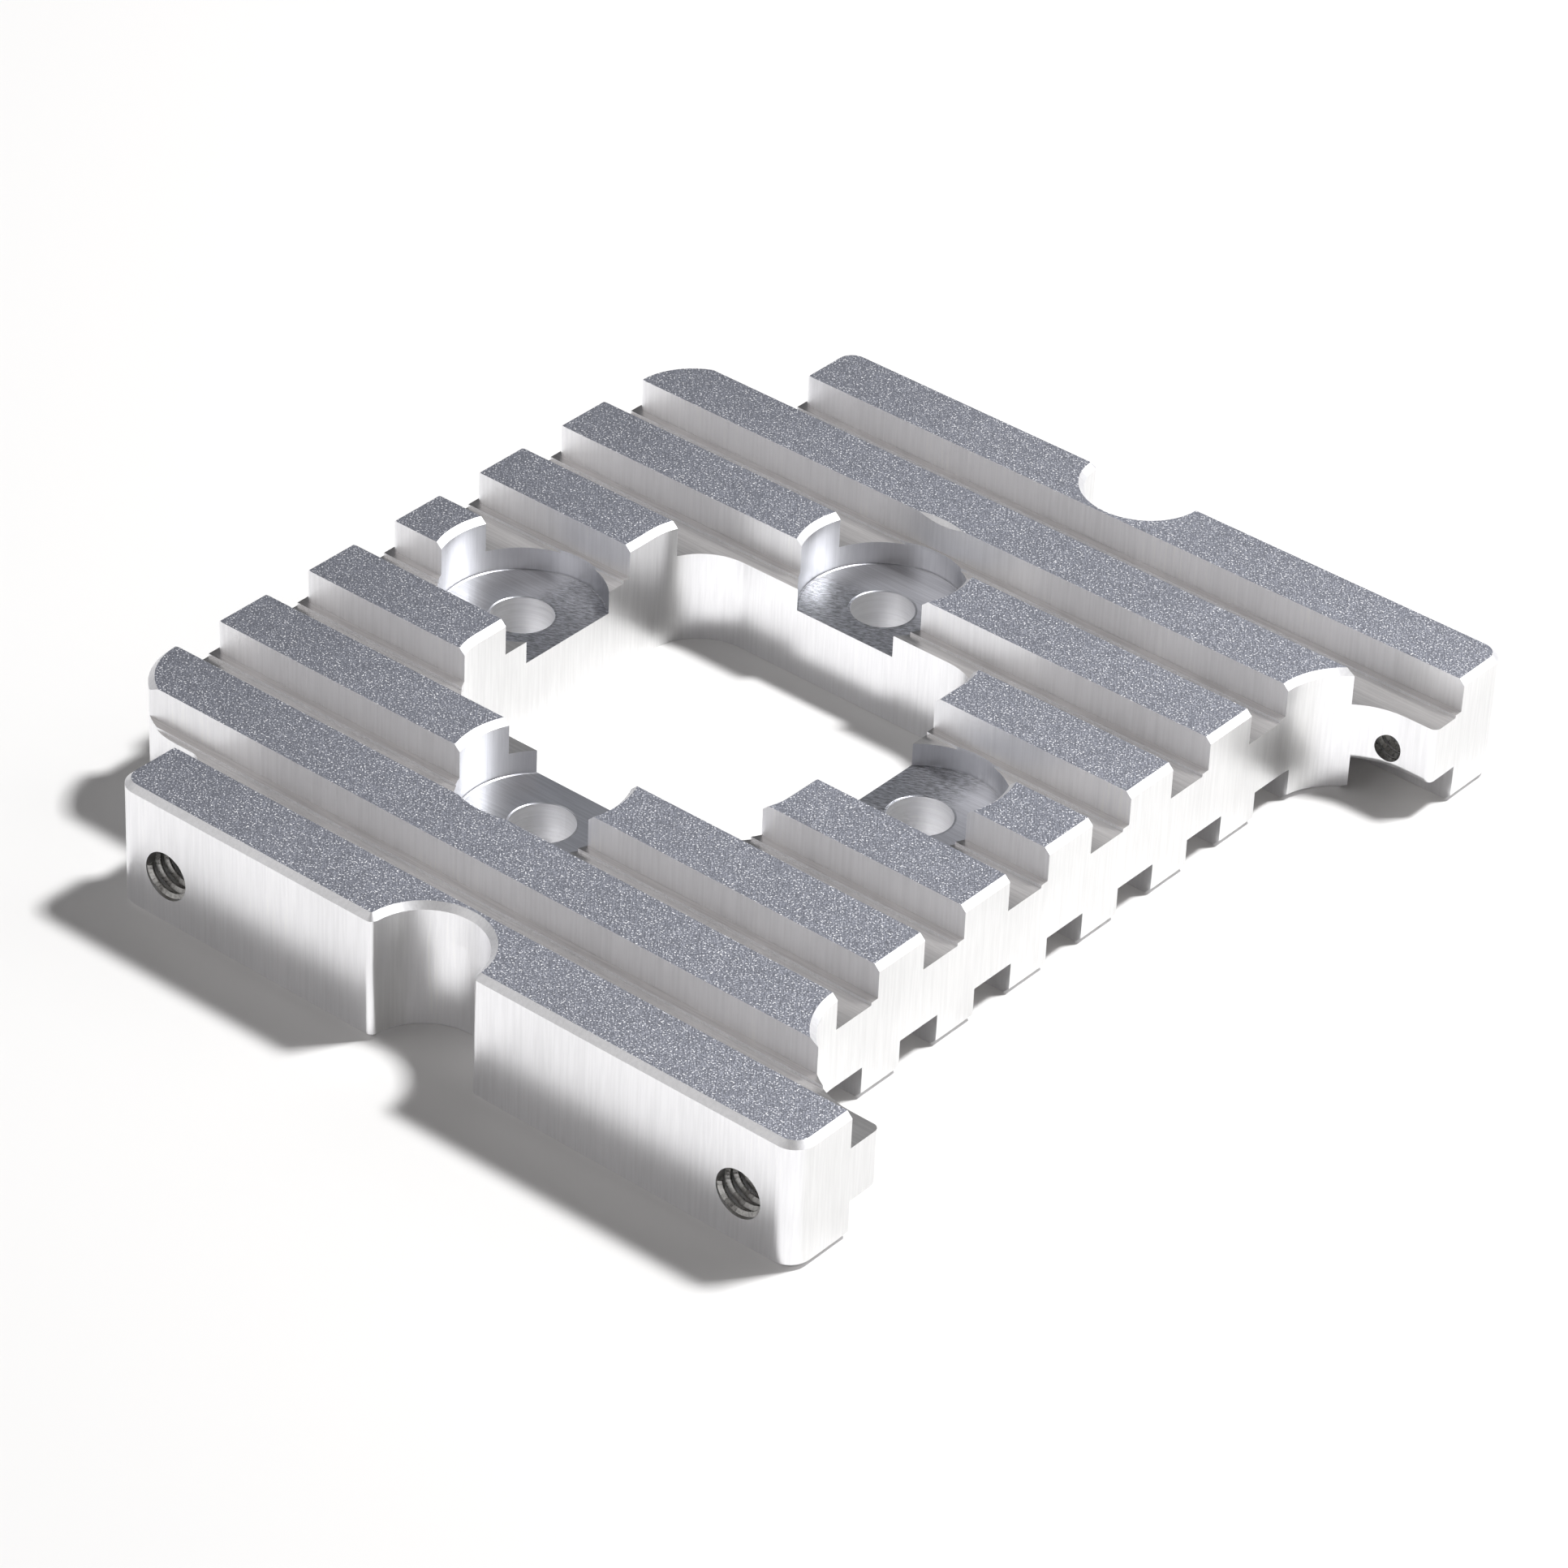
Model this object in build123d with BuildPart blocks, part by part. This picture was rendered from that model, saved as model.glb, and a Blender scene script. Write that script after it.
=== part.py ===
from build123d import *
from math import radians, tan
import os

# Ribbed plate machined from one block of aluminium, in millimetres
# X runs along the ribs, Y across them, and the feet stand at height 0
# The origin is at the centre of the circle of four screw holes

# Outline, seen from above, measured out from the pockets and the ribs
left_end_wall = 4.0
right_end_wall = 5.9
tongue_margin = 0.9
rail_width = 4.75
rail_shift = 7.7
rail_corner_radius = 1.5
shoulder_corner_radius = 1.0
nesting_clearance = 0.25
small_corner_radius = 0.5

# Heights
plate_height = 9.0
edge_chamfer = 0.4

# Top ribs and the grooves between them
rib_count = 7
rib_pitch = 8.0
rib_width = 4.2
groove_depth = 2.5
step_width = 0.6
step_height = 0.2
rib_edge_break = 0.1
left_rib_corner_radius = 0.7
right_rib_corner_radius = 0.5
cutter_clearance = 0.02

# Square window through the middle, up to a wall beside the screw holes
window_wall = 1.75
window_corner_radius = 4.0

# Screw holes with round pockets for the heads
screw_count = 4
screw_circle_radius = 16.3
screw_hole_radius = 2.1
pocket_radius = 5.5
pocket_depth = 4.1

# Half round notches in the two rails
notch_x = 6.9
notch_radius = 3.9
notch_inset = 0.25

# Slots in the underside, the outer ones below the outer grooves
slot_count = 9
slot_width = 3.5
slot_depth = 2.3
slot_reach = 6.0
rail_slot_reach = 13.7
slot_edge_radius = 0.45

# Tapped holes in the sides, at the diameter of the tap drill, whose point reaches past the recess wall
tapped_hole_radius = 1.65
tapped_hole_height = 3.75
drill_point_angle = 118.0
point_past_wall = 0.7
front_hole_inset = 4.2
back_hole_inset = 3.6

# Places that follow from the sizes above
outer_rib_y = (rib_count - 1) / 2 * rib_pitch
outer_groove_y = rib_count / 2 * rib_pitch
groove_width = rib_pitch - rib_width
outer_rib_inside = outer_rib_y - rib_width / 2
rail_inside = outer_groove_y + groove_width / 2
tongue_width = 2 * (outer_rib_y + rib_width / 2 + tongue_margin)
recess_width = tongue_width + 2 * nesting_clearance
plate_width = 2 * (rail_inside + rail_width)
rail_middle = rail_inside + rail_width / 2
block_left = -(screw_circle_radius + pocket_radius + left_end_wall)
block_right = screw_circle_radius + pocket_radius + right_end_wall
block_length = block_right - block_left
rail_left = block_left + rail_shift
rail_right = block_right + rail_shift
window_side = 2 * (screw_circle_radius - screw_hole_radius - window_wall)
groove_places = [(i - rib_count / 2) * rib_pitch for i in range(rib_count + 1)]
slot_pitch = 2 * outer_groove_y / (slot_count - 1)
clear_of_ends = 5.0
groove_length = block_length + rail_shift + 2 * clear_of_ends
drill_point_height = tapped_hole_radius / tan(radians(drill_point_angle / 2))
tapped_hole_depth = (plate_width - recess_width) / 2 + point_past_wall - drill_point_height

# The corners of the tongue and of the recess round off the whole end of the outer ribs
tongue_corner_radius = tongue_width / 2 - outer_rib_inside
recess_corner_radius = recess_width / 2 - outer_rib_inside


def at_x(vertices, x):
    """Corners of a sketch that lie on one line across the plate."""
    return vertices.filter_by(lambda corner: abs(corner.X - x) < 0.001)


with BuildPart() as plate:
    # Tongue at the left, and rails that run on past the block at the right
    with BuildSketch() as outline:
        with Locations((rail_left, 0)):
            Rectangle(block_length, plate_width, align=(Align.MIN, Align.CENTER))
        with Locations((block_left, 0)):
            Rectangle(block_length, tongue_width, align=(Align.MIN, Align.CENTER))
        with Locations((block_right, 0)):
            Rectangle(rail_shift, recess_width, align=(Align.MIN, Align.CENTER), mode=Mode.SUBTRACT)
        fillet(at_x(outline.vertices(), block_left), radius=tongue_corner_radius)
        fillet(at_x(outline.vertices(), block_right), radius=recess_corner_radius)
        inner_edge = (Axis.Y, -recess_width / 2 - 0.001, recess_width / 2 + 0.001)
        fillet(at_x(outline.vertices(), rail_left).filter_by_position(*inner_edge), shoulder_corner_radius)
        fillet(at_x(outline.vertices(), rail_right).filter_by_position(*inner_edge), small_corner_radius)
        rows = outline.vertices().group_by(Axis.Y)
        fillet(rows[0] + rows[-1], radius=rail_corner_radius)
        with Locations((notch_x, notch_inset - plate_width / 2), (notch_x, plate_width / 2 - notch_inset)):
            Circle(notch_radius, mode=Mode.SUBTRACT)
        rows = outline.vertices().group_by(Axis.Y)
        notch_ends = (Axis.X, notch_x - notch_radius, notch_x + notch_radius)
        mouths = (rows[0] + rows[-1]).filter_by_position(*notch_ends)
        fillet(mouths, radius=small_corner_radius)
    extrude(amount=plate_height)
    with BuildSketch() as window:
        RectangleRounded(window_side, window_side, window_corner_radius)
    extrude(amount=plate_height, mode=Mode.SUBTRACT)

    # Pockets wide enough to cut through the ribs and break into the window
    with Locations((0, 0, plate_height)):
        with PolarLocations(screw_circle_radius, screw_count):
            CounterBoreHole(screw_hole_radius, pocket_radius, pocket_depth)

    # Chamfers round the outline, the window and the pockets, before the ribs are cut
    chamfer(plate.faces().sort_by(Axis.Z)[-1].edges(), length=edge_chamfer)
    underside = plate.faces().sort_by(Axis.Z)[0]
    chamfer(underside.outer_wire().edges(), length=edge_chamfer)

    # Grooves, with the cutter run round the ends of the ribs to round their upright corners
    with BuildSketch(Plane.XY.offset(plate_height)) as comb:
        for start, end in (
            (block_left - clear_of_ends, rail_left + clear_of_ends),
            (block_right - clear_of_ends, rail_right + clear_of_ends),
        ):
            with Locations((start, 0)):
                Rectangle(end - start, 2 * rail_middle, align=(Align.MIN, Align.CENTER))
        offset(outline.sketch_local, amount=cutter_clearance, mode=Mode.SUBTRACT)
        with Locations(*[(block_left - clear_of_ends, y) for y in groove_places]):
            Rectangle(groove_length, groove_width, align=(Align.MIN, Align.CENTER))
        reach = (block_left - 2 * cutter_clearance, rail_right + 2 * cutter_clearance)
        ends = comb.vertices().filter_by_position(Axis.X, *reach)
        corners = ends.filter_by(
            lambda corner: min(abs(abs(corner.Y - y) - groove_width / 2) for y in groove_places) < 0.001
        )
        fillet(corners.filter_by_position(Axis.X, block_left - 1, 0), radius=left_rib_corner_radius)
        fillet(corners.filter_by_position(Axis.X, 0, rail_right + 1), radius=right_rib_corner_radius)
    extrude(amount=step_height - groove_depth, mode=Mode.SUBTRACT)

    # The same path a little deeper, which leaves a low step along the far wall of each groove
    with BuildSketch(Plane.XY.offset(plate_height)) as deep_comb:
        add(comb.sketch_local)
        steps = [(block_left - clear_of_ends, y + groove_width / 2 - step_width) for y in groove_places]
        with Locations(*steps):
            Rectangle(groove_length, step_width + rib_width / 2, align=Align.MIN, mode=Mode.SUBTRACT)
    extrude(amount=-groove_depth, mode=Mode.SUBTRACT)

    # Fine break along the top edges of the ribs
    with BuildSketch(Plane.YZ) as edge_break:
        with Locations(*[(y, plate_height) for y in groove_places]):
            Trapezoid(groove_width, rib_edge_break, 135, align=(Align.CENTER, Align.MAX))
    extrude(amount=block_length + rail_shift, both=True, mode=Mode.SUBTRACT)

    # Slots in the underside, open at the ends and stopped short of the screw holes
    slot_places = [(i - (slot_count - 1) / 2) * slot_pitch for i in range(slot_count)]
    with BuildSketch(Plane.XY) as slots:
        for y in slot_places:
            beside_rail = abs(y) + slot_width / 2 > tongue_width / 2
            left_stop = (rail_left if beside_rail else block_left) + slot_reach
            right_stop = rail_right - rail_slot_reach if beside_rail else block_right - slot_reach
            for stop, start, side in (
                (left_stop, block_left - clear_of_ends, Align.MAX),
                (right_stop, rail_right + clear_of_ends, Align.MIN),
            ):
                round_centre = stop - slot_width / 2 if side == Align.MAX else stop + slot_width / 2
                with Locations((round_centre, y)):
                    Circle(slot_width / 2)
                    Rectangle(abs(start - round_centre), slot_width, align=(side, Align.CENTER))
    extrude(amount=slot_depth, mode=Mode.SUBTRACT)

    # Rounded edge where the recess meets the slots beside the rails
    roof_edges = plate.edges().filter_by_position(Axis.Z, slot_depth - 0.001, slot_depth + 0.001)
    recess_edges = roof_edges.filter_by(
        lambda edge: edge.center().X > block_right + 0.1 and abs(edge.center().Y) < recess_width / 2 + 0.001
    )
    fillet(recess_edges, radius=slot_edge_radius)

    # Tapped holes drilled in from both sides, the right ones just through into the recess
    for side, inset in ((-1, front_hole_inset), (1, back_hole_inset)):
        face = Plane(origin=(0, side * plate_width / 2, 0), x_dir=(1, 0, 0), z_dir=(0, side, 0))
        up = face.y_dir.Z
        places = [
            (rail_left + inset, up * tapped_hole_height),
            (rail_right - inset, up * tapped_hole_height),
        ]
        with Locations(face):
            with Locations(*places):
                Hole(tapped_hole_radius, depth=tapped_hole_depth)
            with Locations(*[(x, y, -tapped_hole_depth) for x, y in places]):
                Cone(
                    tapped_hole_radius,
                    0,
                    drill_point_height,
                    rotation=(180, 0, 0),
                    align=(Align.CENTER, Align.CENTER, Align.MIN),
                    mode=Mode.SUBTRACT,
                )

plate.part.label = "ribbed_plate"
os.makedirs("parts", exist_ok=True)
export_step(plate.part, "parts/ribbed_plate.step")
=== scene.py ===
import math

import bmesh
import bpy
from mathutils import Matrix, Vector


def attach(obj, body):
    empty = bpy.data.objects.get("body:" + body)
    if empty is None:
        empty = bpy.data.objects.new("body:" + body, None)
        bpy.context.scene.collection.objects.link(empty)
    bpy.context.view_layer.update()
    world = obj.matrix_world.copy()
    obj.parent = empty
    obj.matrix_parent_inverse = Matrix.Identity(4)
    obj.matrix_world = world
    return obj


MM = 0.001

# Sizes of the plate that its finish and its threads need, in metres
PLATE_TOP = 9.0 * MM
GROOVE_FLOOR = 6.5 * MM
RAIL_INSIDE = 29.9 * MM
POCKET_CENTRE = 16.3 * MM
POCKET_RADIUS = 5.5 * MM
POCKET_FOOT = 0.16 * MM
SCREW_HOLE_RADIUS = 2.1 * MM
SCREW_HOLE_LIP = 0.14 * MM
SIDE_FACE = 34.65 * MM
SIDE_HOLE_HEIGHT = 3.75 * MM
SIDE_HOLE_RADIUS = 1.65 * MM
SIDE_HOLE_DEPTH = 7.1 * MM
THREAD_PITCH = 0.7 * MM
THREAD_HEIGHT = 0.24 * MM
FRONT_HOLES = (-13.9 * MM, 31.2 * MM)
BACK_HOLES = (-14.5 * MM, 31.8 * MM)

# How squarely a face points along an axis, from where a finish starts to where it is full
SQUARE = (0.75, 0.97)
LEVEL = (0.80, 0.97)
SLANTED = (0.50, 0.62)
UPWARD = (0.5, 0.9)

# Colours of the metal, by the way a face was cut, with painted shade on the end faces, a painted sky
# tint on the tops and painted glints
WALL_TONE = (0.945, 0.945, 0.965, 1.0)
# Painted shade: the end faces a tone darker than the walls, to hold down the bright light on them
END_FACE_PAINTED_SHADE_TONE = (0.84, 0.84, 0.84, 1.0)
FLOOR_TONE = (0.76, 0.745, 0.735, 1.0)
STEP_TONE = (0.66, 0.64, 0.63, 1.0)
POCKET_TONE = (0.70, 0.71, 0.76, 1.0)
SCORED_TONE = (0.45, 0.46, 0.50, 1.0)
# The tops' darker matt tone, with a blue tint that is painted reflection of the sky
TOP_TONE_WITH_PAINTED_SKY = (0.69, 0.71, 0.80, 1.0)
# Painted glints: pure white on the brightest flecks of the tops
PAINTED_GLINT_TONE = (1.0, 1.0, 1.0, 1.0)
THREAD_DARK_TONE = (0.32, 0.32, 0.31, 1.0)
THREAD_LIGHT_TONE = (0.52, 0.51, 0.50, 1.0)

# The darkest and the lightest that the marks make a face, against its own colour
WALL_SHADE = (0.95, 1.03)
FLOOR_SHADE = (0.90, 1.06)
SCORED_SHADE = (0.60, 1.40)
TOP_SHADE = (0.86, 1.08)
# Painted shade: the tops grow darker towards the left end of the plate
PAINTED_LEFT_END_SHADE = (0.84, 1.0)
CLOUD_SHADE = (0.97, 1.03)

# Roughness, by the way a face was cut
WALL_ROUGHNESS = 0.29
BORE_ROUGHNESS = 0.50
FLOOR_ROUGHNESS = 0.37
GROOVE_WALL_ROUGHNESS = 0.48
SLANT_ROUGHNESS = 0.50
TOP_ROUGHNESS = (0.37, 0.48)
GLINT_ROUGHNESS = 0.74
THREAD_ROUGHNESS = (0.24, 0.36)

# Relief of the marks, each as a share of the full depth
FULL_DEPTH = 0.03 * MM
POCKET_EDGE_DEPTH = 0.10 * MM
WALL_RELIEF = 0.12
BORE_RELIEF = 0.80
FLOOR_RELIEF = 0.25
SCORED_RELIEF = 1.2

# Length, width and height of one mark, where a whole metre means no change that way
UNCHANGING = 1.0
ARC = (1.1 * MM, 0.07 * MM, UNCHANGING)
FLECK = (0.11 * MM, 0.11 * MM, 0.11 * MM)
WALL_LINE = (0.20 * MM, 0.20 * MM, 4.0 * MM)
RING = (6.0 * MM, 6.0 * MM, 0.16 * MM)
FLOOR_LINE = (4.0 * MM, 0.17 * MM, UNCHANGING)
SCORE = (0.55 * MM, 0.13 * MM, UNCHANGING)
CLOUD = (8.0 * MM, 8.0 * MM, 8.0 * MM)
THREAD_LINE = (0.17 * MM, 1.1 * MM, 0.17 * MM)

# Angles of the marks about the upright axis, in degrees
ARC_TURN = 128.5
CROSS_ARC_TURN = 51.5
SCORE_TURN = 25.0

# The part of a noise's range that a mark's tone spreads over
WIDE_SPREAD = (0.3, 0.7)
NARROW_SPREAD = (0.35, 0.65)
TOP_ROUGHNESS_SPREAD = (0.40, 0.62)
GLINT_SPREAD = (0.62, 0.70)

# Tones of the sky and the floor
SURROUND = (0.66, 0.65, 0.64, 1.0)
FAR_CEILING = (0.17, 0.175, 0.187, 1.0)
NEAR_CEILING = (0.19, 0.18, 0.175, 1.0)
OVERHEAD = (0.03, 0.028, 0.028, 1.0)
FRONT_GLOW = (0.73, 0.72, 0.715, 1.0)
BACK_GLOW = (1.2, 1.2, 1.2, 1.0)
PALE_FLOOR = (0.875, 0.87, 0.865, 1.0)

# Directions of the sky: the near side, and what the groove walls and the end faces show
NEAR_SIDE = (0.62, -0.78, 0.0)
SEEN_IN_GROOVE_WALLS = (-0.513, -0.644, 0.568)
SEEN_IN_END_FACES = (0.540, 0.644, 0.540)

# One square lamp, high behind and to the right: metres and watts
LAMP_PLACE = (0.218, 0.292, 0.656)
LAMP_SIDE = 0.10
LAMP_POWER = 6.1

# Camera fitted to the photograph: degrees, metres, and millimetres for the lens
CAMERA_AZIMUTH = 38.544
CAMERA_ELEVATION = 34.643
CAMERA_ROLL = 2.605
CAMERA_DISTANCE = 0.39382
CAMERA_TARGET = (7.488 * MM, -2.399 * MM, 4.33 * MM)
SENSOR_WIDTH = 36.0
FOCAL_LENGTH = 147.0

# Places of the inputs and the output of a mix node, which share their names
COLOUR_A, COLOUR_B, COLOUR_OUT = 6, 7, 2
VALUE_A, VALUE_B, VALUE_OUT = 2, 3, 0


def socket_values(node, values):
    """Sets the constant values on a node's own sockets."""
    for name, value in values.items():
        node.inputs[name].default_value = value


class Finish:
    """One material, built up node by node on the piece's own coordinates."""

    def __init__(self, name):
        self.material = bpy.data.materials.new(name)
        self.material.use_nodes = True
        self.tree = self.material.node_tree
        self.tree.nodes.clear()
        self.shader = self.tree.nodes.new("ShaderNodeBsdfPrincipled")
        output = self.tree.nodes.new("ShaderNodeOutputMaterial")
        self.join(self.shader.outputs["BSDF"], output.inputs["Surface"])
        self.coordinates = self.tree.nodes.new("ShaderNodeTexCoord")
        socket_values(self.shader, {"Metallic": 1.0})

    def join(self, out_socket, in_socket):
        """Links an output to an input."""
        self.tree.links.new(out_socket, in_socket)

    def feed(self, node, index, value):
        """Puts a value or another node's output on an input."""
        if isinstance(value, bpy.types.NodeSocket):
            self.join(value, node.inputs[index])
        else:
            node.inputs[index].default_value = value

    def math(self, operation, a, b=0.0):
        """One sum on values or outputs."""
        node = self.tree.nodes.new("ShaderNodeMath")
        node.operation = operation
        self.feed(node, 0, a)
        self.feed(node, 1, b)
        return node.outputs[0]

    def times(self, first, *others):
        """The product of two or more values or masks."""
        product = first
        for other in others:
            product = self.math("MULTIPLY", product, other)
        return product

    def ramp(self, value, low, high, out_low=0.0, out_high=1.0):
        """Spreads low to high over out_low to out_high, with soft ends."""
        node = self.tree.nodes.new("ShaderNodeMapRange")
        node.interpolation_type = "SMOOTHSTEP"
        socket_values(node, {"From Min": low, "From Max": high, "To Min": out_low, "To Max": out_high})
        self.join(value, node.inputs["Value"])
        return node.outputs["Result"]

    def split(self, output_name):
        """The three parts of one of the piece's own coordinates."""
        node = self.tree.nodes.new("ShaderNodeSeparateXYZ")
        self.join(self.coordinates.outputs[output_name], node.inputs[0])
        return node.outputs

    def marks(self, cell, turn=0.0, detail=2.0, rough=0.5):
        """Noise in cells of a size, in a frame turned about the upright axis."""
        frame_node = self.tree.nodes.new("ShaderNodeMapping")
        frame_node.vector_type = "TEXTURE"
        socket_values(frame_node, {"Rotation": (0.0, 0.0, math.radians(turn)), "Scale": cell})
        self.join(self.coordinates.outputs["Object"], frame_node.inputs["Vector"])
        node = self.tree.nodes.new("ShaderNodeTexNoise")
        socket_values(node, {"Scale": 1.0, "Detail": detail, "Roughness": rough})
        self.join(frame_node.outputs["Vector"], node.inputs["Vector"])
        return node.outputs["Fac"]

    def mix(self, factor, a, b):
        """Colour a where the factor is 0, and b where it is 1."""
        node = self.tree.nodes.new("ShaderNodeMix")
        node.data_type = "RGBA"
        self.feed(node, 0, factor)
        self.feed(node, COLOUR_A, a)
        self.feed(node, COLOUR_B, b)
        return node.outputs[COLOUR_OUT]

    def blend(self, factor, a, b):
        """Value a where the factor is 0, and b where it is 1."""
        node = self.tree.nodes.new("ShaderNodeMix")
        node.data_type = "FLOAT"
        self.feed(node, 0, factor)
        self.feed(node, VALUE_A, a)
        self.feed(node, VALUE_B, b)
        return node.outputs[VALUE_OUT]

    def brighten(self, colour, factor):
        """The colour times a factor near 1."""
        node = self.tree.nodes.new("ShaderNodeVectorMath")
        node.operation = "SCALE"
        self.join(colour, node.inputs[0])
        self.join(factor, node.inputs["Scale"])
        return node.outputs[0]

    def bump(self, height, strength, distance, normal=None):
        """A normal that follows a relief, on top of another normal if one is given."""
        node = self.tree.nodes.new("ShaderNodeBump")
        socket_values(node, {"Strength": strength, "Distance": distance})
        self.join(height, node.inputs["Height"])
        if normal is not None:
            self.join(normal, node.inputs["Normal"])
        return node.outputs["Normal"]


def face_masks(f, position, normal):
    """The kinds of face, told apart by the way they point and by their height."""
    levelness = f.math("ABSOLUTE", normal["Z"])
    level = f.ramp(levelness, *LEVEL)
    at_top = f.ramp(position["Z"], PLATE_TOP - 0.15 * MM, PLATE_TOP - 0.03 * MM)
    on_step = f.ramp(position["Z"], GROOVE_FLOOR + 0.05 * MM, GROOVE_FLOOR + 0.15 * MM)
    above_floor = f.ramp(position["Z"], GROOVE_FLOOR - 0.05 * MM, GROOVE_FLOOR + 0.05 * MM)
    middle_distance = f.math("ABSOLUTE", position["Y"])
    between_rails = f.ramp(middle_distance, RAIL_INSIDE + 1.1 * MM, RAIL_INSIDE + 0.1 * MM)
    sideways = f.ramp(f.math("ABSOLUTE", normal["Y"]), *SQUARE)
    floor = f.times(level, f.math("SUBTRACT", 1.0, at_top))
    return {
        "top": f.times(level, at_top),
        "floor": floor,
        "step": f.times(floor, on_step),
        "slant": f.math("SUBTRACT", f.ramp(levelness, *SLANTED), level),
        "end_face": f.ramp(f.math("ABSOLUTE", normal["X"]), *SQUARE),
        "groove_wall": f.times(sideways, between_rails, above_floor),
    }


def pocket_masks(f, position, normal, floor):
    """The floors of the pockets, their scored halves, the screw holes and the two round edges."""
    # Distance from the middle of the nearest pocket, folded over the plate's middle planes
    fold_x = f.math("ABSOLUTE", position["X"])
    fold_y = f.math("ABSOLUTE", position["Y"])
    outward = f.math("SUBTRACT", f.math("MAXIMUM", fold_x, fold_y), POCKET_CENTRE)
    across = f.math("MINIMUM", fold_x, fold_y)
    reach = f.math("SQRT", f.math("ADD", f.times(outward, outward), f.times(across, across)))

    inside = f.ramp(reach, POCKET_RADIUS + 0.25 * MM, POCKET_RADIUS + 0.10 * MM)
    below_grooves = f.ramp(position["Z"], GROOVE_FLOOR - 0.3 * MM, GROOVE_FLOOR - 0.6 * MM)
    in_pocket = f.times(inside, below_grooves)
    bore = f.ramp(reach, SCREW_HOLE_RADIUS + 0.15 * MM, SCREW_HOLE_RADIUS + 0.05 * MM)
    pocket_floor = f.times(floor, in_pocket, f.ramp(normal["Z"], *UPWARD))

    # All pockets but the front one are scored on the half beside the window
    beside_window = f.ramp(outward, 1.6 * MM, -0.6 * MM)
    not_front = f.ramp(position["Y"], -9.0 * MM, -6.0 * MM)

    foot = f.ramp(reach, POCKET_RADIUS - POCKET_FOOT, POCKET_RADIUS)
    lip = f.ramp(reach, SCREW_HOLE_RADIUS, SCREW_HOLE_RADIUS + SCREW_HOLE_LIP)
    return {
        "pocket_floor": pocket_floor,
        "scored": f.times(pocket_floor, beside_window, not_front),
        "in_bore": f.times(bore, in_pocket),
        "round_edges": f.times(f.math("ADD", foot, lip), pocket_floor),
    }


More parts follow.
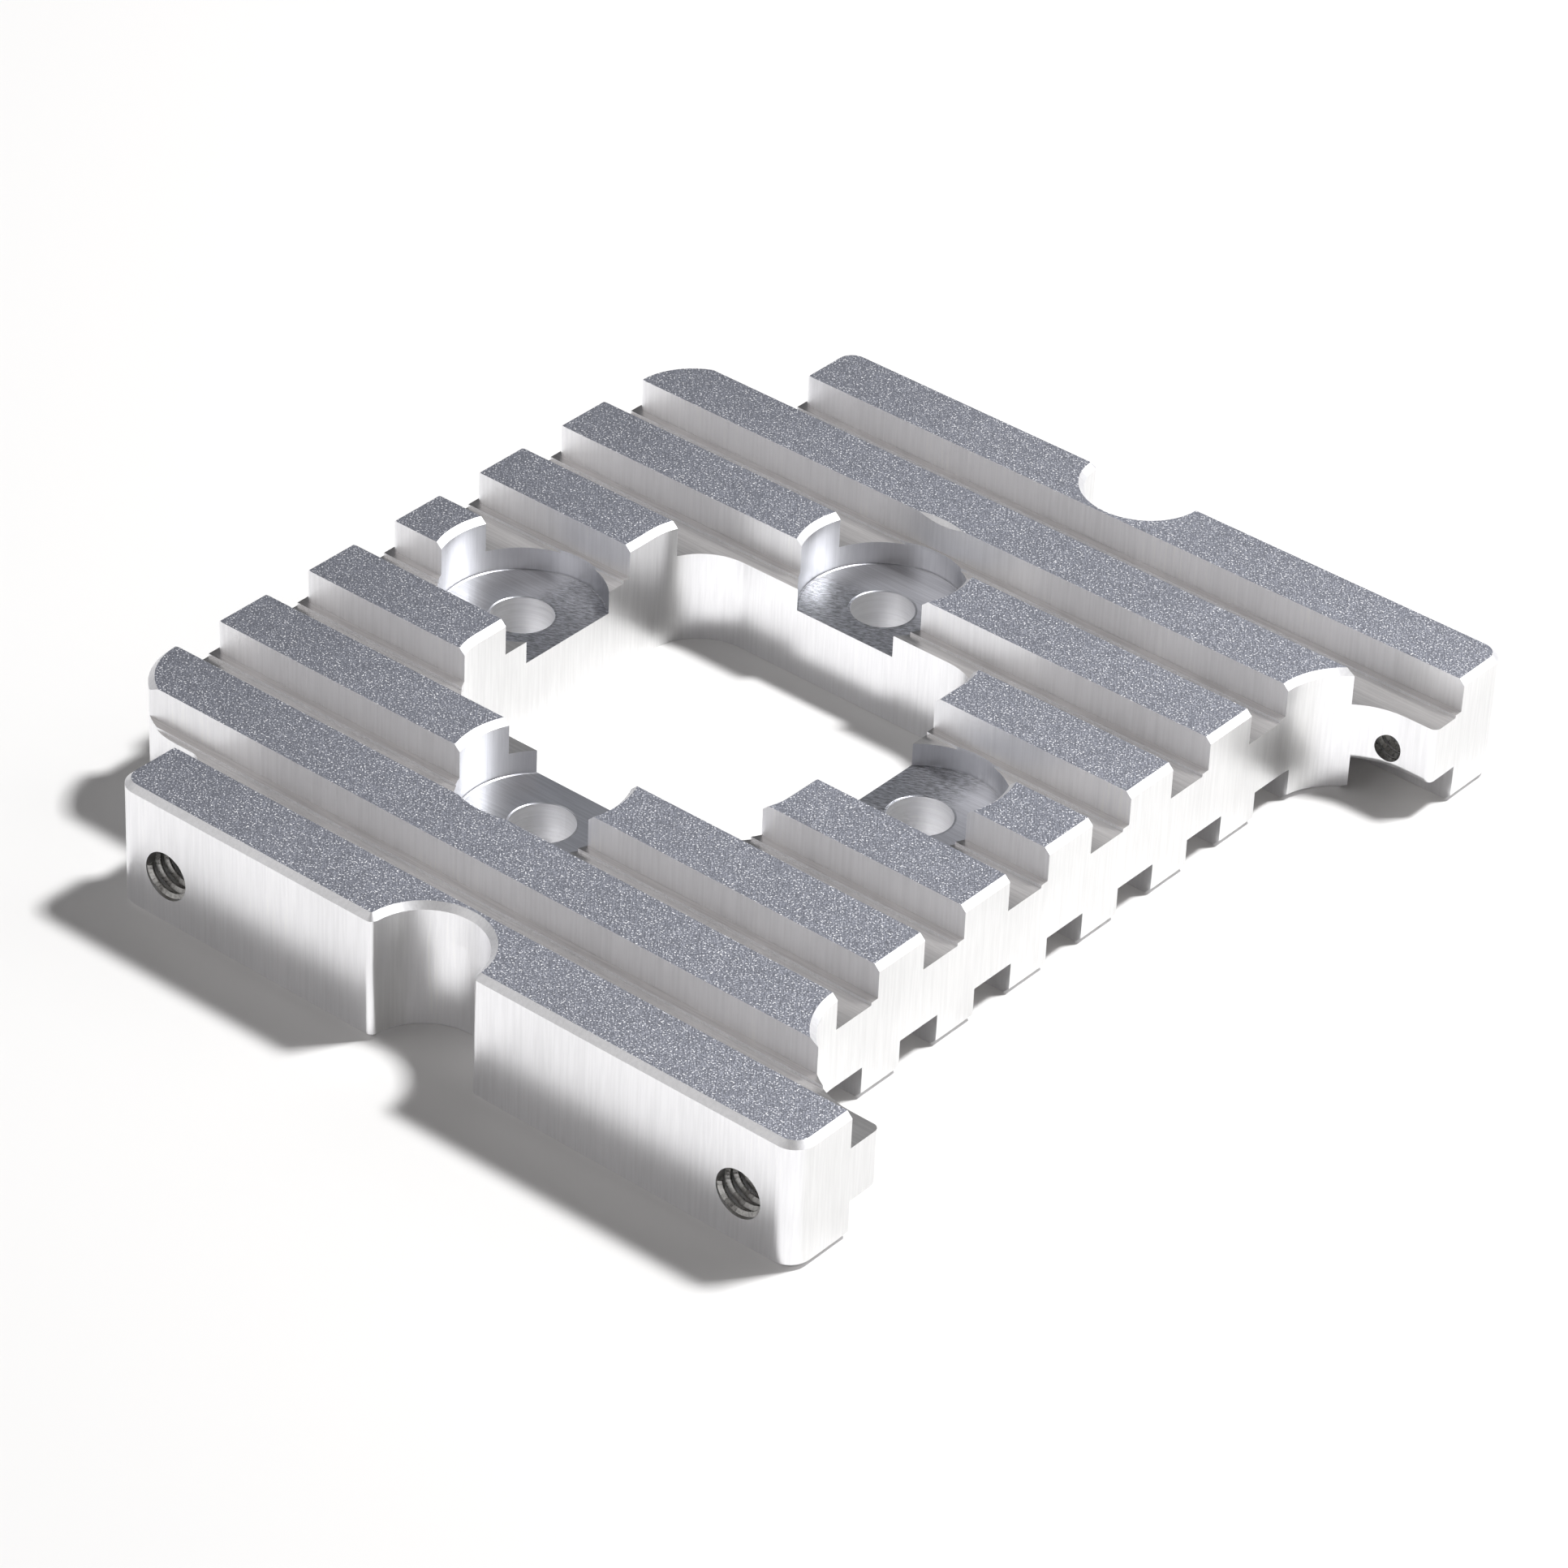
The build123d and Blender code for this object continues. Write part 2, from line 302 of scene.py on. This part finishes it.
def milled_aluminium():
    """Bare aluminium: fly cut matt tops, end milled walls and floors, turned pockets; painted shade on
    the end faces and the left end of the tops, a painted sky tint on the tops and painted glints.
    """
    f = Finish("milled_aluminium")
    position = f.split("Object")
    normal = f.split("Normal")
    on = face_masks(f, position, normal)
    on.update(pocket_masks(f, position, normal, on["floor"]))

    # Cutter marks
    arcs = f.marks(ARC, turn=ARC_TURN, rough=0.6)
    cross_arcs = f.marks(ARC, turn=CROSS_ARC_TURN, rough=0.6)
    flecks = f.marks(FLECK, detail=1.0)
    upright_lines = f.marks(WALL_LINE, detail=3.0, rough=0.6)
    rings = f.marks(RING, detail=3.0, rough=0.6)
    wall_lines = f.blend(on["in_bore"], upright_lines, rings)
    floor_lines = f.marks(FLOOR_LINE, detail=3.0, rough=0.6)
    scores = f.marks(SCORE, turn=SCORE_TURN, detail=3.0, rough=0.7)
    cloud = f.marks(CLOUD)
    crossing_arcs = f.math("ADD", f.times(arcs, 0.30), f.times(cross_arcs, 0.20))
    weave = f.math("ADD", crossing_arcs, f.times(flecks, 0.50))
    # Painted glints: the brightest flecks on the tops, turned white in the colour and rougher below
    painted_glints = f.times(on["top"], f.ramp(flecks, *GLINT_SPREAD))

    # Colour, from one kind of face to the next
    # Painted shade: the end faces darker than the walls
    colour = f.mix(on["end_face"], WALL_TONE, END_FACE_PAINTED_SHADE_TONE)
    colour = f.mix(on["floor"], colour, FLOOR_TONE)
    colour = f.mix(on["step"], colour, STEP_TONE)
    colour = f.mix(on["pocket_floor"], colour, POCKET_TONE)
    colour = f.mix(on["scored"], colour, SCORED_TONE)
    # The tops' matt tone, with a blue tint that is painted reflection of the sky
    colour = f.mix(on["top"], colour, TOP_TONE_WITH_PAINTED_SKY)
    # Painted glints in white on the tops
    colour = f.mix(painted_glints, colour, PAINTED_GLINT_TONE)

    # Shade of the marks on each kind of face, and painted shade that darkens the tops towards the left
    # end
    wall_shade = f.ramp(wall_lines, *WIDE_SPREAD, *WALL_SHADE)
    floor_shade = f.ramp(floor_lines, *WIDE_SPREAD, *FLOOR_SHADE)
    scored_shade = f.ramp(scores, *NARROW_SPREAD, *SCORED_SHADE)
    top_shade = f.ramp(weave, *NARROW_SPREAD, *TOP_SHADE)
    # Painted shade on the tops, darkest at the left end
    painted_left_end_shade = f.ramp(position["X"], -28.0 * MM, -4.0 * MM, *PAINTED_LEFT_END_SHADE)
    shade = f.blend(on["floor"], wall_shade, floor_shade)
    shade = f.blend(on["scored"], shade, scored_shade)
    shade = f.blend(on["top"], shade, f.times(top_shade, painted_left_end_shade))
    shade = f.times(shade, f.ramp(cloud, *WIDE_SPREAD, *CLOUD_SHADE))
    f.join(f.brighten(colour, shade), f.shader.inputs["Base Color"])

    top_roughness = f.ramp(weave, *TOP_ROUGHNESS_SPREAD, *TOP_ROUGHNESS)
    rough = f.blend(on["in_bore"], WALL_ROUGHNESS, BORE_ROUGHNESS)
    rough = f.blend(on["floor"], rough, FLOOR_ROUGHNESS)
    rough = f.blend(on["groove_wall"], rough, GROOVE_WALL_ROUGHNESS)
    rough = f.blend(on["slant"], rough, SLANT_ROUGHNESS)
    rough = f.blend(on["top"], rough, top_roughness)
    rough = f.blend(painted_glints, rough, GLINT_ROUGHNESS)
    f.join(rough, f.shader.inputs["Roughness"])

    # Relief of the marks, with the rounded foot and the broken lip of a pocket floor on top
    relief = f.times(wall_lines, f.blend(on["in_bore"], WALL_RELIEF, BORE_RELIEF))
    relief = f.blend(on["floor"], relief, f.times(floor_lines, FLOOR_RELIEF))
    relief = f.blend(on["scored"], relief, f.times(scores, SCORED_RELIEF))
    relief = f.blend(on["top"], relief, weave)
    fine = f.bump(relief, 1.0, FULL_DEPTH)
    f.join(f.bump(on["round_edges"], 1.0, POCKET_EDGE_DEPTH, fine), f.shader.inputs["Normal"])
    return f.material


def thread_metal():
    """The bright cut metal of a tapped thread."""
    f = Finish("tapped_thread")
    lines = f.marks(THREAD_LINE, detail=3.0, rough=0.6)
    tone = f.mix(f.ramp(lines, *WIDE_SPREAD), THREAD_DARK_TONE, THREAD_LIGHT_TONE)
    f.join(tone, f.shader.inputs["Base Color"])
    f.join(f.ramp(lines, *WIDE_SPREAD, *THREAD_ROUGHNESS), f.shader.inputs["Roughness"])
    f.join(f.bump(lines, 0.2, 0.01 * MM), f.shader.inputs["Normal"])
    return f.material


def tapped_thread(name, x, side, metal):
    """One thread ridge, wound up the wall of a tapped side hole."""
    steps_per_turn = 32
    turns = int(SIDE_HOLE_DEPTH / THREAD_PITCH - 1.0)
    mouth = SIDE_FACE - 0.10 * THREAD_PITCH
    root = SIDE_HOLE_RADIUS + 0.02 * MM
    crest = SIDE_HOLE_RADIUS - THREAD_HEIGHT
    root_half = 0.36 * THREAD_PITCH
    crest_half = 0.08 * THREAD_PITCH
    profile = ((root, -root_half), (crest, -crest_half), (crest, crest_half), (root, root_half))

    bm = bmesh.new()
    corners = [bm.verts.new((-r, side * (mouth - root_half - y), 0.0)) for r, y in profile]
    ring = [bm.edges.new((corners[i], corners[(i + 1) % len(corners)])) for i in range(len(corners))]
    bm.faces.new(corners)
    made = bmesh.ops.spin(
        bm,
        geom=ring,
        cent=(0.0, 0.0, 0.0),
        axis=(0.0, 1.0, 0.0),
        dvec=(0.0, -side * THREAD_PITCH / steps_per_turn, 0.0),
        angle=2.0 * math.pi * turns * side,
        steps=steps_per_turn * turns,
        use_merge=False,
        use_duplicate=False,
    )
    last = [edge for edge in made["geom_last"] if isinstance(edge, bmesh.types.BMEdge)]
    bmesh.ops.contextual_create(bm, geom=last)
    bmesh.ops.translate(bm, verts=bm.verts, vec=(x, 0.0, SIDE_HOLE_HEIGHT))
    bmesh.ops.recalc_face_normals(bm, faces=bm.faces)
    thread = finished_piece(name, bm, metal)
    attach(thread, "root")


def finished_piece(name, bm, material):
    """A new object in the scene, from the faces of a bmesh."""
    mesh = bpy.data.meshes.new(name)
    bm.to_mesh(mesh)
    bm.free()
    mesh.materials.append(material)
    piece = bpy.data.objects.new(name, mesh)
    bpy.context.scene.collection.objects.link(piece)
    return piece


def pale_floor():
    """A wide pale floor that stays white to the camera and keeps the shadow."""
    material = bpy.data.materials.new("pale_floor")
    material.use_nodes = True
    shader = material.node_tree.nodes["Principled BSDF"]
    socket_values(shader, {"Base Color": PALE_FLOOR, "Roughness": 0.9})
    bm = bmesh.new()
    bmesh.ops.create_grid(bm, x_segments=1, y_segments=1, size=1.5)
    bmesh.ops.translate(bm, verts=bm.verts, vec=(0.0, 0.0, -0.01 * MM))
    finished_piece("studio_floor", bm, material)


def key_lamp():
    """A square soft lamp that points at the middle of the plate."""
    lamp = bpy.data.lights.new("key_lamp", "AREA")
    lamp.shape = "SQUARE"
    lamp.size = LAMP_SIDE
    lamp.energy = LAMP_POWER
    box = bpy.data.objects.new("key_lamp", lamp)
    bpy.context.scene.collection.objects.link(box)
    box.location = LAMP_PLACE
    box.rotation_mode = "QUATERNION"
    box.rotation_quaternion = (-Vector(LAMP_PLACE)).to_track_quat("-Z", "Y")


def studio_sky():
    """A pale surround under a dimmer ceiling, with a soft glow in front and one behind."""
    world = bpy.data.worlds.new("studio")
    world.use_nodes = True
    tree = world.node_tree
    direction = tree.nodes.new("ShaderNodeTexCoord").outputs["Generated"]
    split = tree.nodes.new("ShaderNodeSeparateXYZ")
    tree.links.new(direction, split.inputs[0])
    height = split.outputs["Z"]

    def toward(aim):
        """How nearly a direction of the sky points the way of the aim."""
        node = tree.nodes.new("ShaderNodeVectorMath")
        node.operation = "DOT_PRODUCT"
        node.inputs[1].default_value = aim
        tree.links.new(direction, node.inputs[0])
        return node.outputs["Value"]

    def fade(value, low, high, first, second):
        """The first tone up to low, and the second from high on."""
        spread = tree.nodes.new("ShaderNodeMapRange")
        spread.interpolation_type = "SMOOTHSTEP"
        socket_values(spread, {"From Min": low, "From Max": high})
        tree.links.new(value, spread.inputs["Value"])
        tint = tree.nodes.new("ShaderNodeMix")
        tint.data_type = "RGBA"
        tree.links.new(spread.outputs["Result"], tint.inputs[0])
        for index, tone in ((COLOUR_A, first), (COLOUR_B, second)):
            if isinstance(tone, bpy.types.NodeSocket):
                tree.links.new(tone, tint.inputs[index])
            else:
                tint.inputs[index].default_value = tone
        return tint.outputs[COLOUR_OUT]

    ceiling = fade(toward(NEAR_SIDE), -0.3, 0.5, FAR_CEILING, NEAR_CEILING)
    sky = fade(height, 0.08, 0.26, SURROUND, ceiling)
    sky = fade(height, 0.60, 0.82, sky, OVERHEAD)
    sky = fade(toward(SEEN_IN_GROOVE_WALLS), 0.80, 0.95, sky, FRONT_GLOW)
    sky = fade(toward(SEEN_IN_END_FACES), 0.91, 0.97, sky, BACK_GLOW)
    tree.links.new(sky, tree.nodes["Background"].inputs["Color"])
    bpy.context.scene.world = world


def photograph_camera():
    """The camera at the photograph's angle, distance and lens."""
    azimuth = math.radians(CAMERA_AZIMUTH)
    elevation = math.radians(CAMERA_ELEVATION)
    roll = math.radians(CAMERA_ROLL)
    outward = Vector((math.sin(azimuth), -math.cos(azimuth), 0.0))
    level = Vector((math.cos(azimuth), math.sin(azimuth), 0.0))
    back = outward * math.cos(elevation) + Vector((0.0, 0.0, math.sin(elevation)))
    up = back.cross(level)
    right = level * math.cos(roll) + up * math.sin(roll)
    rise = up * math.cos(roll) - level * math.sin(roll)
    data = bpy.data.cameras.new("photograph_camera")
    data.sensor_width = SENSOR_WIDTH
    data.lens = FOCAL_LENGTH
    data.clip_start = 0.01
    camera = bpy.data.objects.new("photograph_camera", data)
    bpy.context.scene.collection.objects.link(camera)
    turn = Matrix((right, rise, back)).transposed().to_4x4()
    place = Vector(CAMERA_TARGET) + back * CAMERA_DISTANCE
    camera.matrix_world = Matrix.Translation(place) @ turn
    bpy.context.scene.camera = camera


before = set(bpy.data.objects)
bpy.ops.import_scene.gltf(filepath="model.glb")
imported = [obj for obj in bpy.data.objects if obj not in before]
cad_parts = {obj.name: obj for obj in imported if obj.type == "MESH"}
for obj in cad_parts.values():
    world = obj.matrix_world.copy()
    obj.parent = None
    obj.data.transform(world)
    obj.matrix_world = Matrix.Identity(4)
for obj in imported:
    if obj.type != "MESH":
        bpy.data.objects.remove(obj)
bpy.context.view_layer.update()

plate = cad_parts["ribbed_plate"]
plate.data.materials.clear()
plate.data.materials.append(milled_aluminium())

metal = thread_metal()
for where, holes, side in (("front", FRONT_HOLES, -1.0), ("back", BACK_HOLES, 1.0)):
    for number, x in enumerate(holes, start=1):
        tapped_thread(f"{where}_thread_{number}", x, side, metal)

pale_floor()
key_lamp()
studio_sky()
photograph_camera()
bpy.context.scene.view_settings.view_transform = "Standard"
